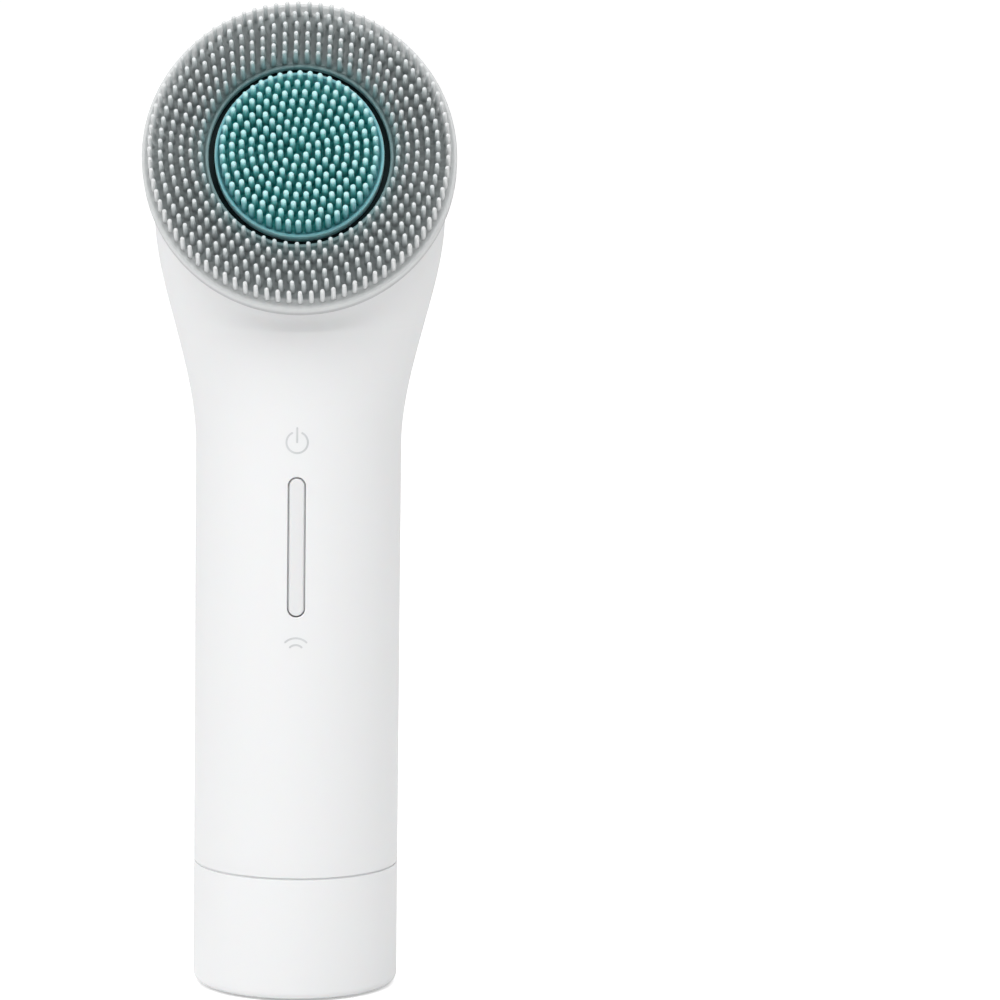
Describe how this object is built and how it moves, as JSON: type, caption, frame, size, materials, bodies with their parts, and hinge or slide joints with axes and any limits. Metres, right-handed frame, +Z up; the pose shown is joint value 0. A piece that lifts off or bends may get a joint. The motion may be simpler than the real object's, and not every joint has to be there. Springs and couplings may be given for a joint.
{
  "type": "facial cleansing brush",
  "caption": "Powered face brush: upright round handle with a forward-tilted head, a grey bristle ring and a teal centre disc that counter-rotate, rocker key and twist-off base cap.",
  "frame": {"origin": "centre of the foot pad's underside, on the handle's axis", "axes": "+Z up along the handle, -Y towards the brush face and the key, +X to the right seen from the front"},
  "size_m": [0.0542, 0.0477, 0.1749],
  "materials": {
    "shell_white": "satin gloss white",
    "key_white": "satin off-white",
    "dark_plastic": "near-black",
    "grey_silicone": "translucent satin",
    "teal_silicone": "translucent satin",
    "black_rubber": "matt",
    "natural_plastic": "matt natural",
    "gear_plastic": "satin natural",
    "steel": "brushed",
    "bronze": "sintered, satin",
    "board_green": "solder mask",
    "cell_wrap": "blue shrink wrap over the can",
    "red_wire": "satin insulation",
    "black_wire": "satin insulation"
  },
  "bodies": {
    "handle": {"main_shell": "shell_white", "end_plug": "natural_plastic", "cap_o_ring": "black_rubber", "charge_port": "steel", "plug_screw_1": "steel", "plug_screw_2": "steel", "key_pin": "steel", "key_frame": "natural_plastic", "key_boot": "black_rubber", "power_switch": "dark_plastic", "speed_switch": "dark_plastic", "circuit_board": "board_green", "control_chip": "dark_plastic", "power_light": "gear_plastic", "speed_light": "gear_plastic", "cell_sled": "natural_plastic", "battery_cell": "cell_wrap", "cell_lead_red": "red_wire", "cell_lead_black": "black_wire", "motor_lead_red": "red_wire", "motor_lead_black": "black_wire", "gearbox_deck": "natural_plastic", "deck_seal": "black_rubber", "motor_plate": "steel", "motor_can": "steel", "wheel_axle": "steel", "idler_axle": "steel", "sleeve_bushing": "bronze", "rear_bushing": "bronze", "sleeve_seal": "black_rubber", "shaft_seal": "black_rubber", "deck_screw_1": "steel", "deck_screw_2": "steel", "deck_screw_3": "steel", "gearbox_screw_1": "steel", "gearbox_screw_2": "steel", "gearbox_screw_3": "steel", "gearbox_screw_4": "steel", "motor_screw_1": "steel", "motor_screw_2": "steel"},
    "outer_brush": {"ring_pad": "grey_silicone", "ring_carrier": "dark_plastic", "ring_gear": "gear_plastic"},
    "inner_brush": {"disc_pad": "teal_silicone", "disc_carrier": "dark_plastic", "disc_shaft": "steel", "disc_gear": "gear_plastic"},
    "reduction": {"reduction_wheel": "gear_plastic"},
    "idler": {"idler_gear": "gear_plastic"},
    "motor_rotor": {"motor_shaft": "steel", "motor_pinion": "bronze"},
    "key": {"rocker_key": "key_white"},
    "foot_cap": {"base_cap": "shell_white", "foot_pad": "grey_silicone"}
  },
  "joints": [
    {"name": "outer_spin", "type": "hinge", "parent": "handle", "child": "outer_brush", "pos_m": [0, -0.01076, 0.14704], "axis": [0, -0.9379, 0.3469], "continuous": true},
    {"name": "inner_spin", "type": "hinge", "parent": "handle", "child": "inner_brush", "pos_m": [0, -0.01076, 0.14704], "axis": [0, -0.9379, 0.3469], "continuous": true},
    {"name": "reduction_spin", "type": "hinge", "parent": "handle", "child": "reduction", "pos_m": [0, -0.01596, 0.13297], "axis": [0, -0.9379, 0.3469], "continuous": true},
    {"name": "idler_spin", "type": "hinge", "parent": "handle", "child": "idler", "pos_m": [0.00737, -0.01489, 0.13588], "axis": [0, -0.9379, 0.3469], "continuous": true},
    {"name": "motor_spin", "type": "hinge", "parent": "handle", "child": "motor_rotor", "pos_m": [0, -0.0203, 0.12125], "axis": [0, -0.9379, 0.3469], "continuous": true},
    {"name": "key_rock", "type": "hinge", "parent": "handle", "child": "key", "pos_m": [0, -0.0137, 0.0806], "axis": [1, 0, 0], "range_deg": [-1.9, 1.9]},
    {"name": "cap_twist", "type": "hinge", "parent": "handle", "child": "foot_cap", "pos_m": [0, 0, 0.013], "axis": [0, 0, 1], "range_deg": [0, 40]}
  ],
  "couplings": [
    {"joint": "inner_spin", "follows": "outer_spin", "ratio": -1.3333},
    {"joint": "reduction_spin", "follows": "outer_spin", "ratio": -4},
    {"joint": "idler_spin", "follows": "outer_spin", "ratio": 2.4},
    {"joint": "motor_spin", "follows": "outer_spin", "ratio": 16}
  ]
}
